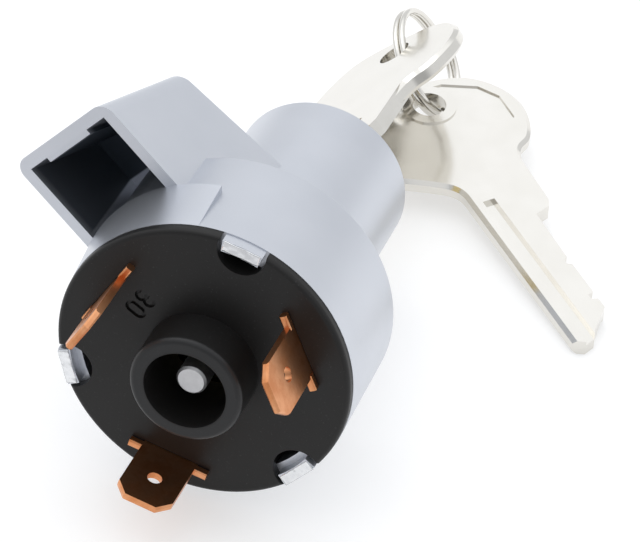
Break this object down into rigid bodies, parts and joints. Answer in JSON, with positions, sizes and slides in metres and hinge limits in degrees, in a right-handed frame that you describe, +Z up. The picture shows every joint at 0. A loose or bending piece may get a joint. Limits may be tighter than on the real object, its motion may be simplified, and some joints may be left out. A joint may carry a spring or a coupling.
{
  "type": "key switch",
  "caption": "Automotive style key-operated selector switch with a side connector box, push-on terminals, and a spare key on a split ring.",
  "frame": {"origin": "on the surface the switch lies on, under the middle of its box", "axes": "+Z up, +Y along the lock axis seen from above, from the terminals to the key, +X to the side away from the connector box"},
  "size_m": [0.0578, 0.091, 0.0406],
  "materials": {
    "cast_zinc": "satin die-cast zinc",
    "black_phenolic": "semi-gloss moulded",
    "copper": "satin copper",
    "brass": "satin brass",
    "brown_phenolic": "matt moulded",
    "steel": "bright steel",
    "dark_steel": "blackened steel",
    "zinc_spindle": "cast zinc",
    "nickel": "nickel plate, polished"
  },
  "bodies": {
    "switch_body": {"housing": "cast_zinc", "terminal_plate": "black_phenolic", "terminal_30": "copper", "terminal_15": "copper", "terminal_50": "copper", "fixed_contacts": "copper", "thrust_washer": "steel", "return_spring": "steel", "lock_sleeve": "brass", "sleeve_pin": "steel", "face_ring": "nickel"},
    "switch_rotor": {"contact_bridge": "brass", "contact_springs": "steel", "rotor": "brown_phenolic", "detent_balls": "steel", "detent_springs": "steel", "drive_spindle": "zinc_spindle", "spindle_clip": "dark_steel"},
    "plug": {"lock_plug": "brass", "plug_circlip": "dark_steel", "wafers": "brass", "wafer_springs": "brass"},
    "key": {"key_in_lock": "nickel"},
    "ring": {"split_ring": "nickel"},
    "spare": {"spare_key": "nickel"}
  },
  "joints": [
    {"name": "lock_turn", "type": "hinge", "parent": "switch_body", "child": "plug", "pos_m": [-0.00488, -0.00359, 0.01435], "axis": [0, -0.9928, 0.1198], "range_deg": [0, 95]},
    {"name": "rotor_turn", "type": "hinge", "parent": "switch_body", "child": "switch_rotor", "pos_m": [-0.00488, -0.02643, 0.0171], "axis": [0, -0.9928, 0.1198], "range_deg": [0, 95]},
    {"name": "key_pull", "type": "slide", "parent": "plug", "child": "key", "axis": [0, 0.9928, -0.1198], "range_m": [0, 0.015]},
    {"name": "ring_turn", "type": "hinge", "parent": "key", "child": "ring", "pos_m": [-0.00278, 0.03852, 0.00645], "axis": [0.8642, 0.13, 0.4861], "range_deg": [-6, 12]},
    {"name": "spare_swivel", "type": "hinge", "parent": "ring", "child": "spare", "pos_m": [-0.00043, 0.03209, 0.00446], "axis": [-0.4023, -0.4016, 0.8227], "range_deg": [-8, 8]}
  ],
  "couplings": [
    {"joint": "rotor_turn", "follows": "lock_turn", "ratio": 1}
  ]
}
